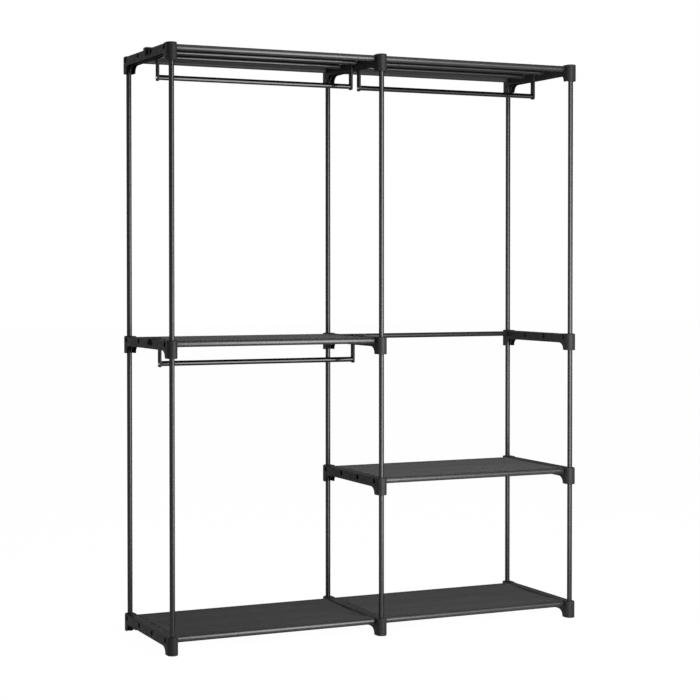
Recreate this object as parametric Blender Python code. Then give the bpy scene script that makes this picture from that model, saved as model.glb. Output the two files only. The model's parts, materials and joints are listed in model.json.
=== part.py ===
"""Free-standing closet rack: two bays of tubes, moulded side rails, fabric shelves and hanging rods.

The origin is on the floor at the middle of the footprint. +X runs to the right along the rack's
length, +Y to the back and +Z up. Lengths are in metres.
"""

import math

import bmesh
import bpy
from mathutils import Vector

# Overall layout, between post axes and between the undersides of the side rails.
BAY_WIDTH = 0.683
POST_DEPTH = 0.404
LEVEL_PITCH = 0.4365

# Steel tube, the same for posts, shelf tubes and hanging rods.
TUBE_RADIUS = 0.008
TUBE_WALL = 0.0005
TUBE_SIDES = 12

# Gap left between pieces that touch or slide.
CLEARANCE = 0.0003
# How far a cutter runs past the face that it cuts.
OVERRUN = 0.004

# Moulded side rail. Heights are above its own underside.
RAIL_HALF_WIDTH = 0.0165
RAIL_HEIGHT = 0.054
RAIL_RECESS = 0.002
RECESS_START = 0.018
RECESS_SLOPE = 0.010
RAIL_EDGE_RADIUS = 0.003
RAIL_WALL = 0.0022
RAIL_UNDERSIDE = 0.0235
RAIL_END_STEPS = 6
FLARE_FOOT = 0.0155
FLARE_REACH = 0.045
FLARE_CORNER = 0.003
FLARE_STEPS = 4
CORNER_STEPS = 1
HOLE_HEIGHT = 0.042
HOLE_INSET = 0.019
HOLES_PER_RAIL = 4
BOSS_WALL = 0.002
WEB_THICKNESS = 0.0024
WEB_RISE = 0.002
RIB_THICKNESS = 0.0016
MOUTH_DEPTH = 0.010
FOOT_THICKNESS = 0.003
CAP_THICKNESS = 0.005

# Fabric shelf, sewn into a sleeve round its front and rear tubes.
FABRIC_THICKNESS = 0.001
FABRIC_EASE = 0.0035
HEM_START = 0.014
HEM_LENGTH = 0.009
EDGE_STATIONS = 6

# Rod hook: a strap bent over the side rail, with the rod screwed to its arm.
HOOK_THICKNESS = 0.0055
HOOK_HALF_WIDTH = 0.010
HOOK_CORNER = 0.0015
LIP_LENGTH = 0.017
ARM_TAIL = 0.011
ARM_FLANGE = 0.0035
ARM_RECESS = 0.0018
ARM_FOOT_RADIUS = 0.006
ARM_FOOT_STEPS = 3
SPIGOT_LENGTH = 0.010
TOP_ROD_DROP = 0.0305
MIDDLE_ROD_DROP = 0.0225
TOP_LEFT_ROD_Y = -0.019
TOP_RIGHT_ROD_Y = 0.004
MIDDLE_LEFT_ROD_Y = -0.034

# Pan-head screw that holds each end of a rod, driven home in its hook.
SCREW_HEAD_RADIUS = 0.0042
SCREW_HEAD_HEIGHT = 0.0036
SCREW_SIDES = 10

# Sizes that follow from the ones above.
RAIL_TOP = RAIL_HEIGHT - RAIL_RECESS
BORE_RADIUS = TUBE_RADIUS + CLEARANCE
BOSS_RADIUS = BORE_RADIUS + BOSS_WALL
TUBE_INNER_RADIUS = TUBE_RADIUS - TUBE_WALL
SPIGOT_RADIUS = TUBE_INNER_RADIUS - CLEARANCE
HALF_DEPTH = POST_DEPTH / 2
OUTER_TUBE_Y = HALF_DEPTH - HOLE_INSET
HOLE_YS = [
    -OUTER_TUBE_Y + 2 * OUTER_TUBE_Y * i / (HOLES_PER_RAIL - 1) for i in range(HOLES_PER_RAIL)
]
SLEEVE_RADIUS = TUBE_RADIUS + (CLEARANCE + FABRIC_THICKNESS / 2) / math.cos(math.pi / TUBE_SIDES)
EDGE_BOW = HOOK_THICKNESS + FABRIC_EASE

COLUMNS = {"left": -BAY_WIDTH, "centre": 0, "right": BAY_WIDTH}
LEVELS = {"bottom": 0, "lower": 1, "middle": 2, "top": 4}
COLUMN_LEVELS = {
    "left": ("bottom", "middle", "top"),
    "centre": ("bottom", "lower", "middle", "top"),
    "right": ("bottom", "lower", "middle", "top"),
}
BAYS = {"left": ("left", "centre"), "right": ("centre", "right")}
SHELVES = (
    ("left", "bottom"),
    ("right", "bottom"),
    ("right", "lower"),
    ("left", "middle"),
    ("left", "top"),
    ("right", "top"),
)
# Which tube stands in each of a rail's holes, from the front one to the rear one.
TUBE_NAMES = (
    "shelf_tube_{}_front",
    "support_tube_{}_front",
    "support_tube_{}_rear",
    "shelf_tube_{}_rear",
)
HANGERS = (
    ("top_left", "left", "top", TOP_ROD_DROP, TOP_LEFT_ROD_Y),
    ("top_right", "right", "top", TOP_ROD_DROP, TOP_RIGHT_ROD_Y),
    ("middle_left", "left", "middle", MIDDLE_ROD_DROP, MIDDLE_LEFT_ROD_Y),
)


def level_z(level):
    """Height of the underside of the side rails at a level."""
    return LEVELS[level] * LEVEL_PITCH


def clear_scene():
    for obj in list(bpy.data.objects):
        bpy.data.objects.remove(obj, do_unlink=True)


def make_material(name, colour, roughness, metallic=0.0):
    material = bpy.data.materials.new(name)
    material.use_nodes = True
    shader = material.node_tree.nodes["Principled BSDF"]
    shader.inputs["Base Color"].default_value = (*colour, 1.0)
    shader.inputs["Roughness"].default_value = roughness
    shader.inputs["Metallic"].default_value = metallic
    return material


def mesh_of(bm, name):
    """Close a bmesh into a mesh with its faces pointing out, round faces shaded smooth."""
    bmesh.ops.recalc_face_normals(bm, faces=bm.faces)
    mesh = bpy.data.meshes.new(name)
    bm.to_mesh(mesh)
    bm.free()
    mesh.shade_smooth()
    mesh.set_sharp_from_angle(angle=math.radians(35))
    return mesh


def add_prism(bm, outline, start, end, axis="Z"):
    """Add an outline, given in the plane across the axis, extruded along the axis."""

    def place(a, b, along):
        return {"X": (along, a, b), "Y": (a, along, b), "Z": (a, b, along)}[axis]

    low = [bm.verts.new(place(a, b, start)) for a, b in outline]
    high = [bm.verts.new(place(a, b, end)) for a, b in outline]
    bm.faces.new(low)
    bm.faces.new(high[::-1])
    for i in range(len(outline)):
        j = (i + 1) % len(outline)
        bm.faces.new((low[i], high[i], high[j], low[j]))


def circle(radius, sides, centre=(0, 0)):
    """Corner points of a regular polygon that stands for a circle, the first on the first axis."""
    angles = [2 * math.pi * i / sides for i in range(sides)]
    return [(centre[0] + radius * math.cos(a), centre[1] + radius * math.sin(a)) for a in angles]


def rectangle(low_a, high_a, low_b, high_b):
    return [(low_a, low_b), (high_a, low_b), (high_a, high_b), (low_a, high_b)]


def prism_mesh(name, outline, start, end, axis="Z"):
    bm = bmesh.new()
    add_prism(bm, outline, start, end, axis)
    return mesh_of(bm, name)


def combine(mesh, changes):
    """Apply Boolean steps to a mesh, each given as an operation and the mesh that it uses."""
    base = bpy.data.objects.new("boolean_base", mesh)
    bpy.context.collection.objects.link(base)
    helpers = [base]
    for operation, tool in changes:
        helper = bpy.data.objects.new("boolean_tool", tool)
        helper.hide_render = True
        helper.display_type = "WIRE"
        bpy.context.collection.objects.link(helper)
        helpers.append(helper)
        step = base.modifiers.new(operation, "BOOLEAN")
        step.operation = operation
        step.object = helper
    graph = bpy.context.evaluated_depsgraph_get()
    graph.update()
    result = bpy.data.meshes.new_from_object(base.evaluated_get(graph))
    result.name = mesh.name
    for helper in helpers:
        bpy.data.objects.remove(helper, do_unlink=True)
    bm = bmesh.new()
    bm.from_mesh(result)
    return mesh_of(bm, result.name)


def place(name, mesh, location=(0, 0, 0), material=None, parent=None):
    obj = bpy.data.objects.new(name, mesh)
    obj.location = location
    bpy.context.collection.objects.link(obj)
    if material is not None and material.name not in mesh.materials:
        mesh.materials.append(material)
    obj.parent = parent
    return obj


def rail_outline():
    """Points round a rail in plan, as base point and outward direction, with the recess stations."""
    points = []
    stations = (RECESS_START, RECESS_START + RECESS_SLOPE)
    for side in (1, -1):
        for i in range(RAIL_END_STEPS + 1):
            angle = math.pi * i / RAIL_END_STEPS
            direction = (side * math.cos(angle), side * math.sin(angle))
            points.append(((0, side * HALF_DEPTH), direction))
        for reach in stations:
            points.append(((0, side * (HALF_DEPTH - reach)), (-side, 0)))
        for reach in reversed(stations):
            points.append(((0, -side * (HALF_DEPTH - reach)), (-side, 0)))
    return points


def rail_top_at(y):
    """Height of a rail's top face: full over the sockets, lower along the rail between them."""
    return RAIL_TOP if HALF_DEPTH - abs(y) > RECESS_START + RECESS_SLOPE / 2 else RAIL_HEIGHT


def rail_block(name):
    """Outside of a rail: round ends, a top edge with a radius, and a shallow recess along the top."""
    outline = rail_outline()
    softened = RAIL_EDGE_RADIUS * (1 - math.sqrt(1 / 2))
    levels = ((0, None), (0, RAIL_EDGE_RADIUS), (softened, softened), (RAIL_EDGE_RADIUS, 0))
    bm = bmesh.new()
    loops = []
    for inset, below_top in levels:
        radius = RAIL_HALF_WIDTH - inset
        loop = []
        for (x, y), (dx, dy) in outline:
            z = 0 if below_top is None else rail_top_at(y) - below_top
            loop.append(bm.verts.new((x + radius * dx, y + radius * dy, z)))
        loops.append(loop)
    count = len(outline)
    for lower, upper in zip(loops, loops[1:]):
        for i in range(count):
            j = (i + 1) % count
            bm.faces.new((lower[i], lower[j], upper[j], upper[i]))
    bm.faces.new(loops[0][::-1])
    add_rail_top_faces(bm, loops[-1])
    return mesh_of(bm, name)


def add_rail_top_faces(bm, loop):
    """Close the top: a flat over each socket, a slope beside it and the recessed strip between."""
    arc = RAIL_END_STEPS + 1
    half = len(loop) // 2
    rear, left = loop[:arc], loop[arc:half]
    front, right = loop[half : half + arc], loop[half + arc :]
    right = right[::-1]
    bm.faces.new([right[0], *rear, left[0]])
    for i in range(len(left) - 1):
        bm.faces.new((right[i + 1], right[i], left[i], left[i + 1]))
    bm.faces.new([left[-1], *front, right[-1]])


def flare_profile(outward):
    """Underside of one half of a rail in the YZ plane, from its socket foot to the plain rail."""
    points = []
    corner_y = FLARE_FOOT - FLARE_CORNER
    for i in range(CORNER_STEPS + 1):
        angle = math.pi / 2 * i / CORNER_STEPS
        points.append(
            (corner_y + FLARE_CORNER * math.sin(angle), FLARE_CORNER * (1 - math.cos(angle)))
        )
    rise = RAIL_UNDERSIDE - FLARE_CORNER
    for i in range(1, FLARE_STEPS + 1):
        angle = math.pi / 2 * i / FLARE_STEPS
        reach = FLARE_REACH - (FLARE_REACH - FLARE_FOOT) * math.cos(angle)
        points.append((reach, FLARE_CORNER + rise * math.sin(angle)))
    return [(outward * (HALF_DEPTH - reach), z) for reach, z in points]


def arch_cutter(name):
    """Space under a rail between its two sockets."""
    front = flare_profile(-1)
    rear = flare_profile(1)[::-1]
    outline = [
        (front[0][0], -OVERRUN),
        *front,
        *rear,
        (rear[-1][0], -OVERRUN),
    ]
    reach = RAIL_HALF_WIDTH + OVERRUN
    return prism_mesh(name, outline, -reach, reach, "X")


def stadium(radius):
    """Plan outline with a half circle round each post axis."""
    points = []
    for side in (1, -1):
        for i in range(RAIL_END_STEPS + 1):
            angle = math.pi * i / RAIL_END_STEPS
            points.append(
                (side * radius * math.cos(angle), side * (HALF_DEPTH + radius * math.sin(angle)))
            )
    return points


def post_socket_changes(side, boss_floor):
    """The boss that holds a post and the two ribs that tie it to the rail's walls."""
    y = side * HALF_DEPTH
    boss_top = RAIL_TOP - RAIL_WALL / 2
    boss = prism_mesh(
        "post_boss", circle(BOSS_RADIUS, TUBE_SIDES, (0, y)), boss_floor, boss_top
    )
    reach = RAIL_HALF_WIDTH - RAIL_WALL / 2
    rib = rectangle(-reach, reach, y - RIB_THICKNESS / 2, y + RIB_THICKNESS / 2)
    ribs = prism_mesh("socket_ribs", rib, boss_floor + BOSS_WALL, boss_top)
    return [("UNION", boss), ("UNION", ribs)]


def tube_boss_changes():
    """Blocks that hold the shelf tubes and the web that stops them in the middle of the rail."""
    changes = []
    reach = RAIL_HALF_WIDTH - RAIL_WALL / 2
    top = RAIL_TOP - RAIL_WALL / 2
    low = HOLE_HEIGHT - BOSS_RADIUS
    for y in HOLE_YS:
        block = rectangle(-reach, reach, y - BOSS_RADIUS, y + BOSS_RADIUS)
        changes.append(("UNION", prism_mesh("tube_boss", block, low, top)))
    web = rectangle(-WEB_THICKNESS / 2, WEB_THICKNESS / 2, -HALF_DEPTH, HALF_DEPTH)
    changes.append(("UNION", prism_mesh("web", web, RAIL_UNDERSIDE + WEB_RISE, top)))
    return changes


def tube_bore_changes():
    """Blind holes for the shelf tubes, from both faces of the rail to the web."""
    changes = []
    for y in HOLE_YS:
        outline = circle(BORE_RADIUS, TUBE_SIDES, (y, HOLE_HEIGHT))
        for side in (-1, 1):
            ends = (side * WEB_THICKNESS / 2, side * (RAIL_HALF_WIDTH + OVERRUN))
            changes.append(("DIFFERENCE", prism_mesh("bore", outline, *ends, "X")))
    return changes


def side_rail(kind):
    """Moulded side rail: an open-bottomed shell with bosses for the posts and the shelf tubes."""
    boss_floor = 0 if kind == "bottom" else MOUTH_DEPTH
    pocket = prism_mesh(
        "pocket", stadium(RAIL_HALF_WIDTH - RAIL_WALL), -OVERRUN, RAIL_TOP - RAIL_WALL
    )
    changes = [("DIFFERENCE", arch_cutter("arch")), ("DIFFERENCE", pocket)]
    changes += tube_boss_changes()
    for side in (-1, 1):
        changes += post_socket_changes(side, boss_floor)
    changes += tube_bore_changes()
    start, end = {
        "bottom": (FOOT_THICKNESS, RAIL_HEIGHT + OVERRUN),
        "middle": (-OVERRUN, RAIL_HEIGHT + OVERRUN),
        "top": (-OVERRUN, RAIL_HEIGHT - CAP_THICKNESS),
    }[kind]
    for side in (-1, 1):
        outline = circle(BORE_RADIUS, TUBE_SIDES, (0, side * HALF_DEPTH))
        changes.append(("DIFFERENCE", prism_mesh("post_bore", outline, start, end)))
    return combine(rail_block(f"side_rail_{kind}"), changes)


def tube_mesh(name, start, end, axis):
    """Open-ended tube along an axis, between two places on it."""
    bm = bmesh.new()
    rings = []
    for radius in (TUBE_RADIUS, TUBE_INNER_RADIUS):
        for along in (start, end):
            ring = []
            for a, b in circle(radius, TUBE_SIDES):
                point = (along, a, b) if axis == "X" else (a, b, along)
                ring.append(bm.verts.new(point))
            rings.append(ring)
    outer_start, outer_end, inner_start, inner_end = rings
    for first, second in (
        (outer_start, outer_end),
        (inner_end, inner_start),
        (outer_end, inner_end),
        (inner_start, outer_start),
    ):
        for i in range(TUBE_SIDES):
            j = (i + 1) % TUBE_SIDES
            bm.faces.new((first[i], first[j], second[j], second[i]))
    return mesh_of(bm, name)


def build_posts(material):
    """Posts from the feet to the caps, through the rails between."""
    start = level_z("bottom") + FOOT_THICKNESS + CLEARANCE
    end = level_z("top") + RAIL_HEIGHT - CAP_THICKNESS - CLEARANCE
    mesh = tube_mesh("post", start, end, "Z")
    for column, x in COLUMNS.items():
        for side, row in ((-1, "front"), (1, "rear")):
            place(f"post_{column}_{row}", mesh, (x, side * HALF_DEPTH, 0), material)


def build_rails(material):
    meshes = {kind: side_rail(kind) for kind in ("bottom", "middle", "top")}
    for column, levels in COLUMN_LEVELS.items():
        for level in levels:
            mesh = meshes[level if level in meshes else "middle"]
            place(f"rail_{column}_{level}", mesh, (COLUMNS[column], 0, level_z(level)), material)


def bay_centre(bay):
    left, right = BAYS[bay]
    return (COLUMNS[left] + COLUMNS[right]) / 2


def build_shelf_tubes(material):
    reach = BAY_WIDTH / 2 - WEB_THICKNESS / 2 - CLEARANCE
    tube = tube_mesh("shelf_tube", -reach, reach, "X")
    for bay, level in SHELVES:
        z = level_z(level) + HOLE_HEIGHT
        for name, y in zip(TUBE_NAMES, HOLE_YS):
            place(name.format(f"{bay}_{level}"), tube, (bay_centre(bay), y, z), material)
    z = level_z("middle") + HOLE_HEIGHT
    place("cross_tube_right_middle_rear", tube, (bay_centre("right"), OUTER_TUBE_Y, z), material)


def fabric_path():
    """Middle line of a shelf's cloth in the YZ plane, from one hem round both tubes to the other."""
    top = SLEEVE_RADIUS
    hem_z = top - FABRIC_THICKNESS - CLEARANCE
    front = [(HEM_START + HEM_LENGTH, hem_z), (HEM_START, hem_z)]
    for i in range(-1, -TUBE_SIDES * 3 // 4 - 1, -1):
        angle = 2 * math.pi * i / TUBE_SIDES
        front.append((SLEEVE_RADIUS * math.cos(angle), SLEEVE_RADIUS * math.sin(angle)))
    front_half = [(y - OUTER_TUBE_Y, z) for y, z in front]
    middle = []
    for i in range(1, EDGE_STATIONS):
        middle.append((OUTER_TUBE_Y * (2 * i / EDGE_STATIONS - 1), top))
    rear_half = [(-y, z) for y, z in reversed(front_half)]
    return front_half + middle + rear_half


def offset_path(path, distance):
    """The path moved sideways by a distance, with mitred corners."""
    moved = []
    for i, (y, z) in enumerate(path):
        before = Vector(path[max(i - 1, 0)])
        after = Vector(path[min(i + 1, len(path) - 1)])
        here = Vector((y, z))
        normals = []
        for first, second in ((before, here), (here, after)):
            run = second - first
            if run.length > 0:
                normals.append(Vector((-run.y, run.x)).normalized())
        normal = sum(normals, Vector((0, 0))).normalized()
        stretch = distance / normal.dot(normals[0])
        moved.append((y + normal.x * stretch, z + normal.y * stretch))
    return moved


def fabric_edge(y):
    """Distance of the cloth's side edge from the rail's axis: it bows in between the tubes."""
    share = min(abs(y) / OUTER_TUBE_Y, 1)
    return RAIL_HALF_WIDTH + CLEARANCE + EDGE_BOW * (1 - share**2)


def fabric_shelf():
    """One cloth strip wrapped round the front and rear tubes, its side edges drawn in."""
    path = fabric_path()
    bm = bmesh.new()
    sides = {}
    for face in (1, -1):
        line = offset_path(path, face * FABRIC_THICKNESS / 2)
        for end in (-1, 1):
            sides[face, end] = [
                bm.verts.new((end * (BAY_WIDTH / 2 - fabric_edge(y)), y, z)) for y, z in line
            ]
    strips = (
        (sides[1, -1], sides[1, 1]),
        (sides[-1, 1], sides[-1, -1]),
        (sides[1, 1], sides[-1, 1]),
        (sides[-1, -1], sides[1, -1]),
    )
    for first, second in strips:
        for i in range(len(path) - 1):
            bm.faces.new((first[i], first[i + 1], second[i + 1], second[i]))
    for i in (0, -1):
        bm.faces.new((sides[1, -1][i], sides[1, 1][i], sides[-1, 1][i], sides[-1, -1][i]))
    return mesh_of(bm, "fabric_shelf")


def build_fabric(material):
    mesh = fabric_shelf()
    for bay, level in SHELVES:
        z = level_z(level) + HOLE_HEIGHT
        place(f"fabric_shelf_{bay}_{level}", mesh, (bay_centre(bay), 0, z), material)


def hook_outline(drop):
    """Side view of a hook in the XZ plane, its arm on the +X side of the rail's axis."""
    inner = RAIL_HALF_WIDTH + CLEARANCE
    outer = inner + HOOK_THICKNESS
    seat = RAIL_TOP + CLEARANCE
    crown = seat + HOOK_THICKNESS
    lip = RAIL_TOP - LIP_LENGTH
    foot = -drop - ARM_TAIL
    return [
        (-outer, lip),
        (-inner, lip),
        (-inner, seat),
        (inner, seat),
        (inner, foot),
        (outer, foot),
        (outer, crown - HOOK_CORNER),
        (outer - HOOK_CORNER, crown),
        (-outer + HOOK_CORNER, crown),
        (-outer, crown - HOOK_CORNER),
    ]


def hook_mesh(drop):
    """Hook with a channelled arm, a rounded foot, a spigot for the rod and its screw's head."""
    bm = bmesh.new()
    add_prism(bm, hook_outline(drop), -HOOK_HALF_WIDTH, HOOK_HALF_WIDTH, "Y")
    foot = -drop - ARM_TAIL
    corners = [
        edge
        for edge in bm.edges
        if all(abs(v.co.z - foot) < CLEARANCE for v in edge.verts)
        and abs(edge.verts[0].co.y - edge.verts[1].co.y) < CLEARANCE
    ]
    bmesh.ops.bevel(
        bm, geom=corners, offset=ARM_FOOT_RADIUS, segments=ARM_FOOT_STEPS, affect="EDGES",
        profile=0.5,
    )
    hook = mesh_of(bm, "hook")
    inner = RAIL_HALF_WIDTH + CLEARANCE
    outer = inner + HOOK_THICKNESS
    channel = prism_mesh(
        "channel",
        rectangle(
            inner - OVERRUN,
            inner + ARM_RECESS,
            -HOOK_HALF_WIDTH + ARM_FLANGE,
            HOOK_HALF_WIDTH - ARM_FLANGE,
        ),
        foot - OVERRUN,
        0,
    )
    spigot = prism_mesh(
        "spigot",
        circle(SPIGOT_RADIUS, TUBE_SIDES, (0, -drop)),
        outer - HOOK_THICKNESS / 2,
        outer + SPIGOT_LENGTH,
        "X",
    )
    changes = [("DIFFERENCE", channel), ("UNION", spigot), ("UNION", screw_head_mesh(drop))]
    return combine(hook, changes)


def screw_head_mesh(drop):
    """Domed screw head standing on the floor of the arm's channel."""
    seat = RAIL_HALF_WIDTH + CLEARANCE + ARM_RECESS
    rings = (
        (seat - SCREW_HEAD_HEIGHT, SCREW_HEAD_RADIUS / 2),
        (seat - SCREW_HEAD_HEIGHT / 2, SCREW_HEAD_RADIUS),
        (seat + ARM_RECESS, SCREW_HEAD_RADIUS),
    )
    bm = bmesh.new()
    loops = [
        [bm.verts.new((x, y, z)) for y, z in circle(radius, SCREW_SIDES, (0, -drop))]
        for x, radius in rings
    ]
    for first, second in zip(loops, loops[1:]):
        for i in range(SCREW_SIDES):
            j = (i + 1) % SCREW_SIDES
            bm.faces.new((first[i], first[j], second[j], second[i]))
    bm.faces.new(loops[0])
    bm.faces.new(loops[-1][::-1])
    return mesh_of(bm, "screw_head")


def mirrored(mesh, side):
    """A copy of a mesh for one end of a bay, measured from the bay's middle."""
    bm = bmesh.new()
    bm.from_mesh(mesh)
    for vert in bm.verts:
        vert.co.x = side * (vert.co.x - BAY_WIDTH / 2)
    return mesh_of(bm, mesh.name)


def build_hangers(rod_material, hook_material):
    half_length = BAY_WIDTH / 2 - RAIL_HALF_WIDTH - HOOK_THICKNESS - 2 * CLEARANCE
    rod = tube_mesh("hanging_rod", -half_length, half_length, "X")
    for name, bay, level, drop, y in HANGERS:
        axis = bpy.data.objects.new(f"{name}_slide", None)
        axis.location = (bay_centre(bay), y, level_z(level))
        bpy.context.collection.objects.link(axis)
        place(f"hanging_rod_{name}", rod, (0, 0, -drop), rod_material, axis)
        hook = hook_mesh(drop)
        for side, end in ((1, "left"), (-1, "right")):
            place(f"rod_hook_{name}_{end}", mirrored(hook, side), (0, 0, 0), hook_material, axis)


def main():
    clear_scene()
    coated_steel = make_material("black_coated_steel", (0.028, 0.028, 0.030), 0.34, 0.3)
    gloss_steel = make_material("gloss_black_steel", (0.015, 0.015, 0.016), 0.22, 0.4)
    plastic = make_material("black_plastic", (0.030, 0.030, 0.032), 0.55)
    cloth = make_material("black_cloth", (0.040, 0.040, 0.042), 0.85)
    build_rails(plastic)
    build_posts(coated_steel)
    build_shelf_tubes(coated_steel)
    build_fabric(cloth)
    build_hangers(gloss_steel, plastic)
    bpy.context.view_layer.update()


main()
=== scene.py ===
"""Looks of a free-standing closet rack: steel tubes, moulded rails, cloth shelves and rods."""

import json
import logging
import math
from dataclasses import dataclass, field
from enum import Enum

import bmesh
import bpy
from mathutils import Euler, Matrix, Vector, noise

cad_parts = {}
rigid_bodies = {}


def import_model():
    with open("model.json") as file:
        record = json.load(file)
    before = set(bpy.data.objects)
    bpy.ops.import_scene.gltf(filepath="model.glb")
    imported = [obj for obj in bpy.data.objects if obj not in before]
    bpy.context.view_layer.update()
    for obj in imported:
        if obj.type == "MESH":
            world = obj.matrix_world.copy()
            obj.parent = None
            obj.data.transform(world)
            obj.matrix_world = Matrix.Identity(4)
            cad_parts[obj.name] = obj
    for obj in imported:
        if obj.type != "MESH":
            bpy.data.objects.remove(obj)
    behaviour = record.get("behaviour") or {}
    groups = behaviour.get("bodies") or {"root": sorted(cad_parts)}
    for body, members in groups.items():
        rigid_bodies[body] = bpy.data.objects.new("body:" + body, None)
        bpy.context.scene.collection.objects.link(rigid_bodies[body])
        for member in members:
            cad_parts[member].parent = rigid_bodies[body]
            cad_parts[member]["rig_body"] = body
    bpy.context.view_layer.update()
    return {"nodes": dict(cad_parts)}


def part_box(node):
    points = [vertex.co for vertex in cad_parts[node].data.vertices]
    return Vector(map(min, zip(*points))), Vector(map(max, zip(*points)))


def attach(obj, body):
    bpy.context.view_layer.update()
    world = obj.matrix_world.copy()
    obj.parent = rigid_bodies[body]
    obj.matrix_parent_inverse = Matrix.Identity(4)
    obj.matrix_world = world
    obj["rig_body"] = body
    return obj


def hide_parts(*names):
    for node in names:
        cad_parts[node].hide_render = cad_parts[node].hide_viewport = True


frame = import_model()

LOG = logging.getLogger("closet_rack")
MM = 0.001
CLEARANCE = 0.3 * MM
TUBE_RADIUS = 8.0 * MM
OVERRUN = 4.0 * MM
MERGE_DISTANCE = MM / 1000
SHARP_ANGLE = 30.0
QUARTER = math.pi / 2
PATTERN_SPAN = (0.3, 0.7)
WHITE = (1.0, 1.0, 1.0, 1.0)
JOIN, CUT = "UNION", "DIFFERENCE"

Point = tuple[float, float]
Place = tuple[float, float, float]
Colour = tuple[float, float, float]
Mesh = bpy.types.Mesh
Socket = bpy.types.NodeSocket
Shape = bmesh.types.BMesh
Step = tuple[str, Mesh]


class Axis(Enum):
    """The axis that a prism or a tube runs along."""

    X = "X"
    Y = "Y"
    Z = "Z"

    def point(self, along: float, a: float, b: float) -> Place:
        """Place a point given along this axis and in the plane across it."""
        return {"X": (along, a, b), "Y": (a, along, b), "Z": (a, b, along)}[self.value]


class RailKind(Enum):
    """Where a side rail sits, which decides how the posts pass it."""

    BOTTOM = "bottom"
    MIDDLE = "middle"
    TOP = "top"


class RodEnd(Enum):
    """Which end of a rod a hook carries; its sign turns the hook towards its bay."""

    LEFT = 1
    RIGHT = -1


@dataclass
class Graph:
    """A node tree, written one node at a time."""

    tree: bpy.types.NodeTree

    def fill(self, node: bpy.types.Node, *values: object, **inputs: object) -> None:
        """Fill a node's inputs with constants and links.

        Args:
            node: the node.
            *values: a constant or an output socket for each of the first inputs.
            **inputs: the same for inputs by name, with underscores for spaces.
        """
        pairs = list(zip(node.inputs, values))
        pairs += [(node.inputs[key.replace("_", " ")], value) for key, value in inputs.items()]
        for socket, value in pairs:
            if isinstance(value, Socket):
                self.tree.links.new(value, socket)
            else:
                socket.default_value = value

    def add(
        self, kind: str, *values: object, settings: dict | None = None, **inputs: object
    ) -> bpy.types.Node:
        """Add a node and fill its inputs.

        Args:
            kind: the node's type name without its ShaderNode prefix.
            *values: as for fill.
            settings: values for the node's own properties.
            **inputs: as for fill.

        Returns:
            The new node.
        """
        node = self.tree.nodes.new("ShaderNode" + kind)
        for key, value in (settings or {}).items():
            setattr(node, key, value)
        self.fill(node, *values, **inputs)
        return node

    def result(self, kind: str, *values: object, **inputs: object) -> Socket:
        """The first output of a node added with add's arguments."""
        return self.add(kind, *values, **inputs).outputs[0]

    def place(self) -> Socket:
        """The surface's own coordinates, in metres."""
        return self.add("TexCoord").outputs["Object"]

    def grain(self, scale: float, detail: float = 3.0) -> Socket:
        """A noise pattern with this many grains to the metre."""
        return self.result("TexNoise", Vector=self.place(), Scale=scale, Detail=detail)

    def combine(self, operation: str, first: object, second: object) -> Socket:
        """Two values combined by an operation of the Math node."""
        return self.result("Math", first, second, settings={"operation": operation})

    def remap(self, value: Socket, span: Point, to: Point = (0, 1), eased: bool = False) -> Socket:
        """A value carried from one span to another, evenly or eased at both ends."""
        course = {"interpolation_type": "SMOOTHSTEP" if eased else "LINEAR"}
        return self.result("MapRange", value, *span, *to, settings=course)

    def bump(self, height: Socket, depth: float, **under: Socket) -> Socket:
        """A pattern as relief of this depth, over the normal given as Normal if there is one."""
        return self.result("Bump", Height=height, Distance=depth, **under)


def new_material(name: str) -> tuple[bpy.types.Material, Graph, bpy.types.Node]:
    """Make a material.

    Args:
        name: its name.

    Returns:
        The material, its graph and its shader.
    """
    material = bpy.data.materials.new(name)
    material.use_nodes = True
    return material, Graph(material.node_tree), material.node_tree.nodes["Principled BSDF"]


@dataclass(frozen=True)
class Finish:
    """What every surface has: a slot, a colour, a gloss, how both of them vary, a fine relief."""

    name: str
    slot: str
    colour: Colour
    roughness: float
    colour_spread: float = 0.12
    roughness_spread: float = 0.06
    metallic: float = 0.0
    specular: float = 0.5
    edge_dulling: float = 0.9
    dull_span: Point = (0.1, 0.9)
    patch_scale: float = 30.0
    gloss_scale: float = 90.0
    grain_scale: float = 900.0
    grain_detail: float = 1.0
    grain_depth: float = 0.0
    sheen: float = 0.0
    sheen_roughness: float = 0.5

    def grained(self, graph: Graph, **under: Socket) -> Socket:
        """The fine grain as a normal, over the one given as Normal if there is one."""
        grain = graph.grain(self.grain_scale, self.grain_detail)
        return graph.bump(grain, self.grain_depth, **under)

    def relief(self, graph: Graph) -> Socket:
        """The surface's relief, as a normal."""
        return self.grained(graph)

    def material(self) -> bpy.types.Material:
        """Make the material, or fetch it where it is made already.

        Returns:
            The material with this finish's name.
        """
        if self.name in bpy.data.materials:
            return bpy.data.materials[self.name]
        material, graph, shader = new_material(self.name)
        ramp = graph.add("ValToRGB", graph.grain(self.patch_scale))
        spread = (1 - self.colour_spread, 1 + self.colour_spread)
        for stop, position, share in zip(ramp.color_ramp.elements, PATTERN_SPAN, spread):
            stop.position = position
            stop.color = (*(c * share for c in self.colour), 1.0)
        gloss = (self.roughness - self.roughness_spread, self.roughness + self.roughness_spread)
        shine = (self.specular, self.specular * (1 - self.edge_dulling))
        facing = graph.add("LayerWeight").outputs["Facing"]
        graph.fill(
            shader,
            Base_Color=ramp.outputs["Color"],
            Roughness=graph.remap(graph.grain(self.gloss_scale), PATTERN_SPAN, gloss),
            Metallic=self.metallic,
            Specular_IOR_Level=graph.remap(facing, self.dull_span, shine),
            Normal=self.relief(graph),
            Sheen_Weight=self.sheen,
            Sheen_Roughness=self.sheen_roughness,
        )
        return material


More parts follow.
